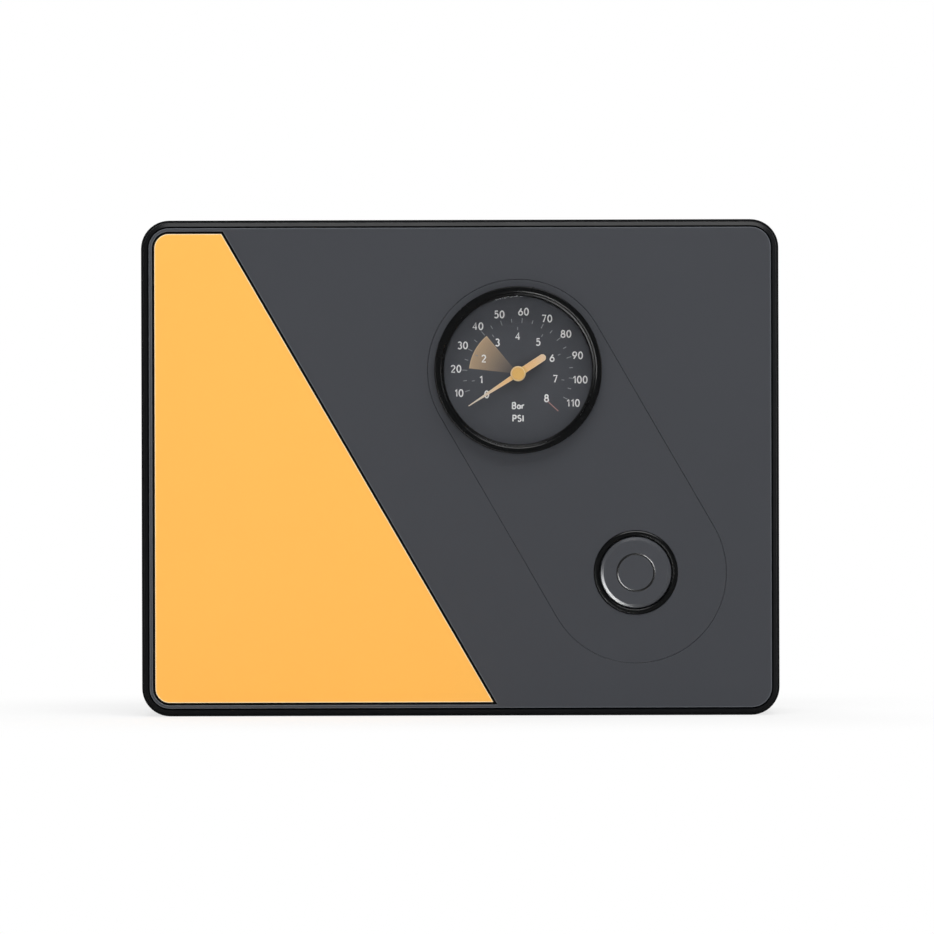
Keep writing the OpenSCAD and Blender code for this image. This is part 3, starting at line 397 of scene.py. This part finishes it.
# Each letter is as wide as its first number, and is drawn with strokes in a height of 1.
letters = {
    "0": (0.56, arc(0.28, 0.5, 0.28, 0.5, 0, 360, 20)),
    "1": (0.34, [(0.06, 0.78), (0.3, 1), (0.3, 0)]),
    "2": (0.56, arc(0.28, 0.73, 0.26, 0.27, 165, -30) + [(0.02, 0), (0.56, 0)]),
    "3": (0.54, arc(0.26, 0.76, 0.23, 0.24, 150, -80), arc(0.26, 0.26, 0.27, 0.27, 80, -150)),
    "4": (0.6, [(0.44, 0), (0.44, 1), (0, 0.3), (0.6, 0.3)]),
    "5": (0.54, [(0.5, 1), (0.12, 1), (0.08, 0.54)] + arc(0.26, 0.33, 0.28, 0.33, 125, -145)),
    "6": (0.56, arc(0.28, 0.3, 0.28, 0.3, 0, 360, 18), [(0.42, 1), (0.03, 0.42)]),
    "7": (0.54, [(0, 1), (0.54, 1), (0.18, 0)]),
    "8": (0.56, arc(0.28, 0.76, 0.22, 0.24, 0, 360, 18), arc(0.28, 0.26, 0.28, 0.27, 0, 360, 18)),
    "9": (0.56, arc(0.28, 0.7, 0.28, 0.3, 0, 360, 18), [(0.14, 0), (0.53, 0.58)]),
    "B": (0.52, [(0, 0), (0, 1)] + arc(0.28, 0.76, 0.2, 0.24, 90, -90) + [(0, 0.52)],
          [(0, 0.52)] + arc(0.28, 0.26, 0.25, 0.26, 90, -90) + [(0, 0)]),
    "a": (0.46, arc(0.23, 0.3, 0.23, 0.3, 0, 360, 16), [(0.46, 0.6), (0.46, 0)]),
    "r": (0.3, [(0, 0.6), (0, 0)], arc(0.26, 0.34, 0.26, 0.26, 180, 70, 6)),
    "P": (0.5, [(0, 0), (0, 1)] + arc(0.28, 0.74, 0.24, 0.26, 90, -90) + [(0, 0.48)]),
    "S": (0.52, arc(0.26, 0.76, 0.24, 0.24, 35, 270), arc(0.26, 0.26, 0.27, 0.26, 90, -150)),
    "I": (0.1, [(0.05, 0), (0.05, 1)]),
}


letter_gap = 0.3


def lettering(word, radius, angle, height):
    """The strokes of a word that is centred at that radius and angle from the hub."""
    start = -(sum(letters[letter][0] for letter in word) + letter_gap * (len(word) - 1)) / 2
    strokes = []
    for letter in word:
        wide, *lines = letters[letter]
        strokes += [[(radius * cos(angle) + (start + u) * height, radius * sin(angle) + (v - 0.5) * height)
                     for u, v in line] for line in lines]
        start += wide + letter_gap
    return strokes


def drawn(lines, radius):
    """Makes a round wire along each line of points, and selects it."""
    bpy.ops.curve.primitive_nurbs_path_add()
    bpy.ops.object.mode_set(mode="EDIT")
    bpy.ops.curve.select_all(action="SELECT")
    bpy.ops.curve.delete(type="VERT")
    for line in lines:
        bpy.ops.curve.select_all(action="DESELECT")
        for point in line:
            bpy.ops.curve.vertex_add(location=point)
    bpy.ops.curve.select_all(action="SELECT")
    bpy.ops.curve.spline_type_set(type="POLY")
    bpy.ops.object.mode_set(mode="OBJECT")
    wire = bpy.context.object
    wire.data.bevel_depth = radius
    wire.data.bevel_resolution = 1
    wire.data.use_fill_caps = True
    bpy.ops.object.convert(target="MESH")
    return wire


def inked(name, strokes, width, finish):
    """Prints strokes on the dial as a thin film of ink."""
    lines = [[(hub.x + across, 0, hub.z + up) for across, up in stroke] for stroke in strokes]
    film = drawn(lines, width / 2)
    film.location.y = dial_y
    film.scale.y = 0.1
    finished(name, finish, "case")


def printed(name, colour):
    """Screen ink, a little uneven where the mesh of the screen left it."""
    finish = Finish(name, Specular_IOR_Level=0.2)
    density = finish.noise(0.0003, 2)
    finish.set(Base_Color=finish.mix(density, tint(colour, 0.9), colour), Roughness=0.5 + density * 0.15)
    return finish


def bar_angle(bar):
    """The inner scale. Its 0 is printed where the pointer rests."""
    return radians(min(213.2, 221.6 - 32.8 * bar))


def psi_angle(psi):
    """The outer scale, which starts at 10."""
    return radians(198.6 - 2.261 * (psi - 10))


def tick(angle, near, far):
    """One line along a radius."""
    return [(near * cos(angle), near * sin(angle)), (far * cos(angle), far * sin(angle))]


number_h, unit_h = 0.0019, 0.0017
psi_numbers_r, bar_numbers_r = 0.0176, 0.0106
past_tick = 0.012
below_hub = -pi / 2
words = [(str(psi), psi_numbers_r, psi_angle(psi) - past_tick, number_h) for psi in range(10, 120, 10)]
words += [(str(bar), bar_numbers_r, bar_angle(bar), number_h) for bar in range(9)]
words += [("Bar", 0.009, below_hub, unit_h), ("PSI", 0.0126, below_hub, unit_h)]
strokes = sum((lettering(*word) for word in words), [])
inked("dial_numbers", strokes, 0.00042, printed("white_ink", shade("e2e2e2")))

# Where each kind of line starts and ends, out from the hub
long_tick, short_tick = (0.0144, 0.0158), (0.0146, 0.0156)
bar_tick, stop_line = (0.0124, 0.0132), (0.011, 0.0155)
ticks = []
for psi in range(10, 115, 5):
    ticks.append(tick(psi_angle(psi), *(short_tick if psi % 10 else long_tick)))
for bar in range(1, 8):
    ticks.append(tick(bar_angle(bar), *bar_tick))
inked("dial_ticks", ticks, 0.00026, printed("grey_ink", shade("868a8d")))
inked("dial_stop_line", [tick(radians(-43), *stop_line)], 0.0003, printed("red_ink", shade("a17d7a")))

# ---------------------------------------------------------------- pointer
# A light alloy pointer painted gold, paler towards its ends, with a turned hub cap. It is pressed on the
# brass arbor that the sector gear drives.
gold = Finish("pointer_gold", Specular_IOR_Level=0.4)
from_hub = gold.from_axis(hub)
grain = gold.noise(0.0005, 2)
on_hub = 1 - gold.slope(from_hub, 0.0021, 0.003)
towards_tip = gold.slope(from_hub, 0.004, 0.014)
arm = gold.mix(towards_tip, shade("dcb380"), shade("c6bfb4"))
# The edges of the arm and the rim of the hub cap are painted paler: painted highlights.
arm = gold.mix(gold.edges(0.0003), arm, shade("ddc9ad"))
hub_cap = gold.mix(gold.edges(0.0004), shade("d0a660"), shade("ddc8a0"))
gold.set(Base_Color=gold.mix(on_hub, arm, hub_cap), Roughness=0.38 + grain * 0.1)
gold.relief(grain, 3e-6, 0.00012)
dress(gold, "gauge_pointer")

# ---------------------------------------------------------------- gauge movement
# Brass plates, a sector with fine teeth and its link, blanked and left with a drawn grain, and a blued
# hairspring that takes up the play.
brass = metal("brass", shade("d8b25c"), 0.3, stretch=(6, 1, 1))
dress(brass, "pointer_arbor", "sector_gear", "movement_frame", "gauge_link", "gauge_socket")
dress(metal("blued_spring", shade("7d8794"), 0.28), "hairspring")
dress(metal("phosphor_bronze", shade("c9925a"), 0.32, stretch=(1, 5, 1)), "bourdon_tube")

# ---------------------------------------------------------------- button
# The cap is a deep ABS moulding in a gloss black bezel. Its face is dull, and its chamfer and the engraved
# ring are lacquered. A small steel spring stands on the switch and brings the cap back.
dress(gloss, "button_bezel")
cap = moulded("cap_abs", tint(slate, 0.97), 0.5, depth=2e-6, edge=0.00012, specular=0.2)
from_axis = cap.from_axis(centre("power_button"))
ring_near, ring_far, chamfer_r = 0.0049, 0.0055, 0.0088
# The engraved ring is painted near black: painted shade in the groove.
groove_shade = cap.band(from_axis, ring_near, ring_far, 0.00003)
lacquered = cap.band(from_axis, ring_near - 0.0001, ring_far + 0.0001, 0.00005)
lacquered = lacquered + cap.slope(from_axis, chamfer_r, chamfer_r + 0.0002)
plain = Wire(cap, cap.shader.inputs["Base Color"].links[0].from_socket)
cap.set(Base_Color=cap.mix(groove_shade, plain, shade("08090a")), Coat_Weight=lacquered, Coat_Roughness=0.2)
dress(cap, "power_button")

spring_low, spring_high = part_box("button_spring")
spring_axis = centre("button_spring")
spring_wire, spring_turns, steps = 0.00035, 5, 100
coil_r = (spring_high.x - spring_low.x) / 2 - spring_wire
coil_rise = spring_high.y - spring_low.y - 2 * spring_wire
coil = []
for step in range(steps + 1):
    turn = 2 * pi * spring_turns * step / steps
    y = spring_low.y + spring_wire + coil_rise * step / steps
    coil.append((spring_axis.x + coil_r * cos(turn), y, spring_axis.z + coil_r * sin(turn)))
drawn([coil], spring_wire)
spring = finished("button_coil", metal("spring_steel", shade("b9bec4"), 0.25, stretch=(1, 1, 4)), "case")
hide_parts("button_spring")
travel = joint("button_press")["range_m"][1]
1 - travel / (spring_high.y - spring_low.y)
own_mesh(spring)

# ---------------------------------------------------------------- switch
# A bought push switch: black body, natural nylon plunger, brass tabs, and two screws through its ears.
dress(moulded("switch_black", shade("1c1e20"), 0.45), "switch_body")
nylon = moulded("natural_nylon", shade("dcd7c8"), 0.5, specular=0.4)
dress(nylon, "switch_plunger")
dress(brass, "switch_terminals")
dress(zinc, "switch_screws")

# ---------------------------------------------------------------- motor
# A brushed 12 V motor: a drawn steel can, a black end cap, two ferrite magnets, carbon brushes, and
# sintered bronze bushes for the ground shaft.
dress(metal("drawn_steel", shade("a9adb2"), 0.34, stretch=(8, 1, 1)), "motor_can")
dress(moulded("cap_black", shade("191a1c"), 0.5), "motor_end_cap")
ferrite = moulded("ferrite", shade("3b3b3e"), 0.75, grain=0.0004, depth=1.5e-5, mottle=0.12)
dress(ferrite, "motor_magnets", "motor_brushes")
bronze = metal("sintered_bronze", shade("b98245"), 0.45, size=0.0002, depth=8e-6)
dress(bronze, "motor_bushes")
ground_steel = metal("ground_steel", shade("c8ccd1"), 0.2, stretch=(1, 6, 6), size=0.0004)
dress(ground_steel, "motor_shaft")

# ---------------------------------------------------------------- armature
# Stamped laminations on the shaft, with enamelled copper wound over both their ends, and a copper
# commutator ring.
winding = Finish("copper_on_laminations", Metallic=1.0)
core_low, core_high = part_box("armature")
copper_end, strand_pitch = 0.004, 0.0006
strand = winding.node("Math", {"operation": "SINE"}, {0: winding.x * (2 * pi / strand_pitch)})
core = winding.band(winding.x, core_low.x + copper_end, core_high.x - copper_end, 0.0002)
laminations = winding.mix(strand * 0.5 + 0.5, shade("777b80"), shade("a2a6ab"))
winding.set(
    Base_Color=winding.mix(core, shade("b06a35"), laminations),
    Roughness=0.34 + winding.noise(0.001, 3) * 0.2,
)
winding.relief(strand, 3e-5, 0.0002)
dress(winding, "armature")
dress(metal("drawn_copper", shade("c77b45"), 0.3, stretch=(4, 1, 1)), "commutator")
dress(nylon, "motor_fan", "motor_pinion")
dress(zinc, "motor_screws")

# ---------------------------------------------------------------- crank drive
# The motor pinion drives a nylon gear on the crank shaft. The shaft runs in bronze bearings in a
# die-cast crankcase, and its web and eccentric bush move the rod.
die_cast = metal("die_cast", shade("a3a7ab"), 0.48, size=0.001, depth=1.2e-5, edge=0.0003)
dress(die_cast, "crankcase", "piston_rod")
dress(bronze, "crank_bearings", "eccentric_bush")
dress(ground_steel, "crank_shaft", "crank_web")
dress(nylon, "crank_gear")

# ---------------------------------------------------------------- cylinder and head
# A finned aluminium barrel and a cast head with two barbs, with a steel valve plate, a spring steel reed
# and a black gasket between them. The piston seals with a leather-soft rubber cup.
rubber = moulded("black_rubber", shade("171717"), 0.7, grain=0.0006, depth=1e-5)
dress(rubber, "piston_cup", "head_gasket")
turned_alloy = metal("turned_alloy", shade("b4b8bc"), 0.32, stretch=(6, 6, 1))
dress(turned_alloy, "cylinder_barrel", "cup_retainer")
dress(ground_steel, "valve_plate", "outlet_reed")
dress(die_cast, "cylinder_head")
dress(metal("blackened_bolts", shade("6d7277"), 0.4), "head_bolts")

# ---------------------------------------------------------------- air lines and mounts
# Rubber hoses with a coarse skin from the head to the gauge and to the outlet, with steel clips, and two
# rubber blocks that carry the compressor on the rear shell.
hose_rubber = moulded("hose_rubber", shade("2c2f32"), 0.6, grain=0.0009, depth=3e-5)
dress(hose_rubber, "gauge_hose", "outlet_hose")
dress(zinc, "hose_clips")
dress(rubber, "rubber_mounts")

# ---------------------------------------------------------------- outlet and gland
# At the back, a machined brass nipple for the air hose and a ribbed rubber gland for the 12 V cord. Both
# are locked from inside.
dress(metal("turned_brass", shade("d9b561"), 0.26, stretch=(5, 1, 5), size=0.0004), "air_outlet")
dress(rubber, "cord_gland")

# ---------------------------------------------------------------- circuit board and wires
# A glass-fibre board under green solder mask, soldered at the back, with a blue relay, two capacitors in
# black sleeves and a green terminal block, and leads in red PVC.
board = Finish("board_and_parts", Specular_IOR_Level=0.5)
board_low, board_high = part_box("circuit_board")
board_middle = centre("circuit_board")
across_board = board.x - board_middle.x
up_board = board.z - board_middle.z


def on_board(left, right, bottom, top):
    """1 over a rectangle of the board, given in millimetres from its middle."""
    soft = 0.00015
    return (board.band(across_board, left / 1000, right / 1000, soft)
            * board.band(up_board, bottom / 1000, top / 1000, soft))


def round_on_board(across, up, radius):
    """1 over a disc of the board, in millimetres too."""
    soft = 0.0001
    reach = ((across_board - across / 1000) ** 2 + (up_board - up / 1000) ** 2) ** 0.5
    return 1 - board.slope(reach, radius / 1000 - soft, radius / 1000 + soft)


board_t = 0.0016
board_front = board_high.y - board_t
raised = 1 - board.slope(board.y, board_front - 0.0003, board_front - 0.0001)
track = board.node("TexVoronoi", {"feature": "DISTANCE_TO_EDGE"},
                   {"Vector": board.place, "Scale": 260.0}, "Distance")
mask = board.mix(board.slope(track, 0.08, 0.12), shade("3c8a57"), shade("1f5c38"))
pad = board.node("TexVoronoi", {}, {"Vector": board.place, "Scale": 300.0, "Randomness": 0.35}, "Distance")
at_back = board.slope(board.y, board_high.y - 0.0002, board_high.y - 0.0001)
solder = at_back * (1 - board.slope(pad, 0.2, 0.26))

relay = on_board(-11.5, 2.5, 1.5, 14.5)
terminal_block = on_board(-12.5, 4.5, -16.5, -8.5)
terminal_screws = sum(round_on_board(across, -12.5, 1.5) for across in (-9.5, -4, 1.5))
can_tops = sum(round_on_board(9, up, 3) for up in (-4, 6))
can_tops = can_tops * (1 - board.slope(board.y, board_low.y + 0.0001, board_low.y + 0.0004))

colour = board.mix(raised, mask, shade("26282b"))
colour = board.mix(raised * relay, colour, shade("1d4f86"))
colour = board.mix(raised * terminal_block, colour, shade("2c8a4c"))
bare = board.node("Clamp", {}, {0: solder + can_tops + raised * terminal_screws * terminal_block})
board.set(
    Base_Color=board.mix(bare, colour, shade("c3c7cb")),
    Metallic=bare,
    Roughness=0.34 + board.noise(0.004, 3) * 0.14 - bare * 0.08,
)
board.relief(track * (1 - raised) + solder * 2, 1e-5, 0.0003)
dress(board, "circuit_board")
dress(moulded("red_pvc", shade("a8241c"), 0.38, grain=0.001, depth=5e-6), "wiring")

# ---------------------------------------------------------------- studio
# A pale table top in a white room, a soft box overhead, fills in front, behind and at the right, a bright
# strip low at the left, and a long lens square to the front.
bpy.ops.mesh.primitive_plane_add(size=3.2)
table = bpy.context.object
table.name = "table_top"
bpy.ops.object.transform_apply(location=True, scale=True)
# The top glows, so that it is as white as the room, and keeps a faint true shadow close to the case. In
# reflections its front half glows less.
white = Finish("table_white", Base_Color=(0.86, 0.86, 0.86), Roughness=0.9)
shown, mirrored, let_through = white.rays()
from_case = white.outside((white.x, packed_low.x, packed_high.x), (white.y, packed_low.y, packed_high.y))
away = white.slope(from_case, 0, 0.1)
in_front = 1 - white.slope(white.y, packed_low.y, packed_high.y)
glow = white.node("Emission", {}, {"Color": (1, 1, 1), "Strength": 1 - mirrored * in_front * 0.8})
seen = mirrored + (shown + let_through) * (0.72 + 0.28 * away)
blend = white.node("MixShader", {}, {0: seen, 1: Wire(white, white.shader.outputs[0]), 2: glow})
white.feed(white.tree.nodes["Material Output"].inputs["Surface"], blend)
table.data.materials.append(white.material)
deselect()

# The room looks white, and so does its back half in reflections. Its front half is nearly black in them,
# and all of it gives only a dim, even light.
world = bpy.data.worlds.new("studio")
bpy.context.scene.world = world
world.use_nodes = True
room = Nodes(world.node_tree)
shown, mirrored, let_through = room.rays()
way = room.node("SeparateXYZ", {}, {0: room.node("TexCoord", output="Generated")}, "Y")
white_wall = room.node("Clamp", {}, {0: shown + let_through + mirrored * room.slope(way, -0.1, 0.4)})
air = room.tree.nodes["Background"].inputs
room.feed(air["Color"], (1, 1, 1))
room.feed(air["Strength"], white_wall + (1 - white_wall) * (0.17 - 0.11 * mirrored))


lit_point = Vector((0, 0, 0.07))


def lamp(name, place, width, height, power, turn=0.0):
    """An oblong lamp that faces the case, turned about the way it shines."""
    light = bpy.data.lights.new(name, "AREA")
    light.shape = "RECTANGLE"
    light.size = width
    light.size_y = height
    light.energy = power
    piece = bpy.data.objects.new(name, light)
    bpy.context.collection.objects.link(piece)
    piece.location = place
    aim = (lit_point - Vector(place)).to_track_quat("-Z", "Y")
    piece.rotation_euler = (aim @ Quaternion((0, 0, 1), turn)).to_euler()
    piece.visible_camera = False
    return piece


lamp("soft_box", (0.2, -0.65, 1.4), 1.3, 0.9, 17.5)
lamp("back_fill", (-0.3, 1.1, 0.9), 1.2, 0.8, 9)
lamp("side_fill", (1.4, 0.3, 0.3), 1.1, 0.9, 9)
lamp("front_fill", (0.1, -1.9, 0.3), 0.8, 0.8, 13).visible_glossy = False
# The low strip only draws bright lines on the two black rings and the cap, and the table top doesn't
# stand in its way.
strip = lamp("low_strip", (-0.65, -0.95, -0.49), 0.12, 1.8, 20, turn=0.52)
strip.visible_diffuse = False
lit = bpy.data.collections.new("lit_by_strip")
for name in ("gauge_bezel", "button_bezel", "power_button"):
    lit.objects.link(frame["nodes"][name])
strip.light_linking.receiver_collection = lit
passed = bpy.data.collections.new("passed_by_strip")
passed.objects.link(table)
strip.light_linking.blocker_collection = passed
passed.collection_objects[0].light_linking.link_state = "EXCLUDE"

camera = bpy.data.objects.new("camera", bpy.data.cameras.new("camera"))
bpy.context.collection.objects.link(camera)
bpy.context.scene.camera = camera
camera.data.lens = 200
camera.data.sensor_width = 36
middle = (packed_low + packed_high) / 2
case_face_y = packed_low.y + 0.0025
camera_distance, camera_roll = 1.4628, 0.0028
# The camera stands a little off the middle and rolls slightly
camera.location = (middle.x + 0.0019, case_face_y - camera_distance, middle.z + 0.0002)
camera.rotation_euler = (pi / 2, camera_roll, 0)
bpy.context.scene.view_settings.view_transform = "Standard"
